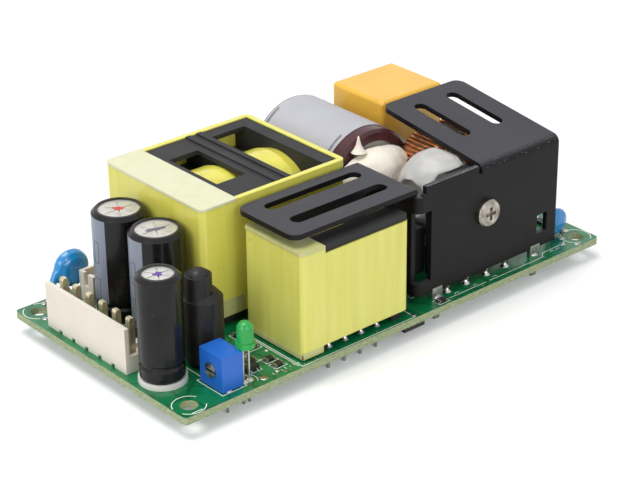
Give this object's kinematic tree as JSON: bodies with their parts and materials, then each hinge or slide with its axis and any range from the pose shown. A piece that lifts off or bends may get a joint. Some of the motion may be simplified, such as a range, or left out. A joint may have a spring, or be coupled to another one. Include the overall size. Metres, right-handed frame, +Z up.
{
  "type": "open frame power supply",
  "caption": "Open frame power supply: a green circuit board carrying transformers, capacitors, chokes, headers, a trimmer and a folded black heatsink.",
  "frame": {"origin": "centre of the four mounting holes, on the underside of the board", "axes": "+X along the board towards the mains input end, +Y across the board towards the large capacitors, +Z up, out of the component side"},
  "size_m": [0.1016, 0.0508, 0.0312],
  "materials": {
    "fibreglass": "green solder mask with white legend, tan edge",
    "solder": "bright tin solder",
    "chip": "matt black moulding with tinned ends",
    "ivory_nylon": "ivory nylon",
    "tinned_pin": "tin plated brass",
    "ferrite": "ground black ferrite",
    "bobbin_black": "black moulded phenolic, slightly dusty",
    "yellow_tape": "lemon yellow polyester tape",
    "cream_tape": "pale yellow tape over the edge",
    "coil_tape": "taped winding",
    "black_aluminium": "black anodised folded sheet",
    "screw_steel": "nickel plated steel",
    "black_epoxy": "moulded black epoxy",
    "tab_metal": "tinned copper tab",
    "can_aluminium": "bare drawn can with vent",
    "brown_sleeve": "maroon brown shrink sleeve",
    "label": "pale grey plain label",
    "amber_plastic": "amber yellow moulded box",
    "core_green": "epoxy coated ring core",
    "copper_wire": "enamelled copper wire",
    "divider": "pale green white insulating divider",
    "black_sleeve": "black shrink sleeve with a pale stripe",
    "seal": "pale rubber seal",
    "heatshrink": "black heat shrink tube",
    "trimmer_blue": "blue moulded case",
    "rotor_metal": "nickel plated slotted rotor",
    "green_lens": "green tinted epoxy lens",
    "blue_coat": "glossy blue epoxy coat",
    "silicone": "off white silicone adhesive",
    "grey_silicone": "grey white silicone adhesive",
    "fuse_brown": "dark brown moulded box"
  },
  "bodies": {
    "root": {"circuit_board": "fibreglass", "solder_joints": "solder", "surface_parts_top": "chip", "surface_parts_bottom": "chip", "output_header": "ivory_nylon", "output_pins": "tinned_pin", "fan_header": "ivory_nylon", "fan_pins": "tinned_pin", "input_header": "ivory_nylon", "input_pins": "tinned_pin", "large_transformer_core": "ferrite", "large_transformer_bobbin": "bobbin_black", "large_transformer_coil": "coil_tape", "large_transformer_tape": "yellow_tape", "large_transformer_top_tape": "cream_tape", "large_transformer_pins": "tinned_pin", "small_transformer_core": "ferrite", "small_transformer_bobbin": "bobbin_black", "small_transformer_coil": "coil_tape", "small_transformer_tape": "yellow_tape", "small_transformer_top_tape": "cream_tape", "small_transformer_pins": "tinned_pin", "heatsink": "black_aluminium", "heatsink_screw": "screw_steel", "heatsink_nut": "screw_steel", "heatsink_feet": "tinned_pin", "bridge_rectifier": "black_epoxy", "bridge_leads": "tinned_pin", "power_transistor": "black_epoxy", "transistor_tab": "tab_metal", "transistor_screw": "screw_steel", "bulk_capacitor_can": "can_aluminium", "bulk_capacitor_sleeve": "brown_sleeve", "bulk_capacitor_label": "label", "bulk_capacitor_leads": "tinned_pin", "film_capacitor": "amber_plastic", "film_capacitor_leads": "tinned_pin", "choke_core": "core_green", "choke_winding_left": "copper_wire", "choke_winding_right": "copper_wire", "choke_divider": "divider", "choke_leads": "copper_wire", "output_capacitor_cans": "can_aluminium", "output_capacitor_sleeves": "black_sleeve", "small_capacitor_can": "can_aluminium", "small_capacitor_sleeve": "black_sleeve", "capacitor_seals": "seal", "capacitor_leads": "tinned_pin", "rod_choke": "heatshrink", "rod_choke_leads": "tinned_pin", "trimmer_body": "trimmer_blue", "trimmer_leads": "tinned_pin", "lamp_lens": "green_lens", "lamp_leads": "tinned_pin", "disc_capacitors": "blue_coat", "disc_capacitor_leads": "tinned_pin", "bulk_silicone": "silicone", "corner_silicone": "grey_silicone", "fuses": "fuse_brown"},
    "trimmer_rotor": {"trimmer_rotor": "rotor_metal"}
  },
  "joints": [
    {"name": "trimmer_turn", "type": "hinge", "parent": "root", "child": "trimmer_rotor", "pos_m": [-0.0412, -0.02015, 0.0048], "axis": [1, 0, 0], "range_deg": [-135, 135]}
  ]
}
